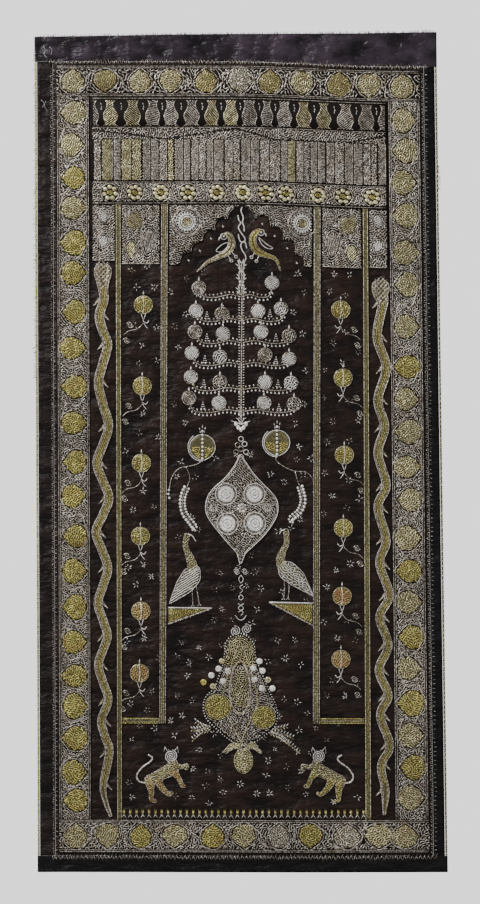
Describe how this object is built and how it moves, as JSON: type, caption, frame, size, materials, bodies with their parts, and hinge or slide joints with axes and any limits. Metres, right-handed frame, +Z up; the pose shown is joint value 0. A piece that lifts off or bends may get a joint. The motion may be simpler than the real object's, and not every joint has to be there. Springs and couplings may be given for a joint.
{
  "type": "embroidered wall hanging",
  "caption": "Upright rectangular wall hanging in dark satin, with an arched niche of padded metal-thread motifs inside patterned borders.",
  "frame": {"origin": "middle of the top edge, on the flat back of the top strip", "axes": "+X to the viewer's right, +Z up, the worked side faces -Y"},
  "size_m": [0.9507, 0.0186, 1.931],
  "materials": {
    "dark_satin": "near-black brown satin weave",
    "border_satin": "near-black satin with a faint violet sheen",
    "edging_braid": "twisted dull gold braid",
    "silver_thread": "couched and padded silver thread, slightly tarnished",
    "gold_thread": "couched and padded gold thread, slightly tarnished"
  },
  "bodies": {
    "root": {"field_cloth": "dark_satin", "top_strip": "border_satin", "bottom_strip": "border_satin", "left_strip": "border_satin", "right_strip": "border_satin", "left_edging": "edging_braid", "right_edging": "edging_braid", "leaf_band_top": "silver_thread", "leaf_band_bottom": "silver_thread", "leaf_band_left": "silver_thread", "leaf_band_right": "silver_thread", "flask_frieze": "silver_thread", "fluted_panel": "silver_thread", "rosette_band": "silver_thread", "side_panel_left": "silver_thread", "side_panel_right": "silver_thread", "mid_panel_left": "silver_thread", "mid_panel_right": "silver_thread", "arch_panel": "silver_thread", "outer_pillar_left": "gold_thread", "outer_pillar_right": "gold_thread", "inner_pillar_left": "gold_thread", "inner_pillar_right": "gold_thread", "serpent_left": "gold_thread", "serpent_right": "gold_thread", "fruit_tree": "silver_thread", "medallion": "silver_thread", "medallion_rosette_1": "silver_thread", "medallion_rosette_2": "silver_thread", "medallion_rosette_3": "silver_thread", "medallion_rosette_4": "silver_thread", "great_pomegranate_left": "gold_thread", "great_pomegranate_right": "gold_thread", "bouquet": "silver_thread", "bouquet_fruit_left": "gold_thread", "bouquet_fruit_right": "gold_thread", "bud": "gold_thread", "pomegranate_01": "gold_thread", "pomegranate_02": "gold_thread", "pomegranate_03": "gold_thread", "pomegranate_04": "gold_thread", "pomegranate_05": "gold_thread", "pomegranate_06": "gold_thread", "pomegranate_07": "gold_thread", "pomegranate_08": "gold_thread", "pomegranate_09": "gold_thread", "pomegranate_10": "gold_thread", "pomegranate_11": "gold_thread", "pomegranate_12": "gold_thread", "arch_bird_left": "silver_thread", "arch_bird_right": "silver_thread", "crane_left": "silver_thread", "crane_right": "silver_thread", "bracket_left": "gold_thread", "bracket_right": "gold_thread", "lion_left": "gold_thread", "lion_right": "gold_thread"}
  },
  "joints": []
}
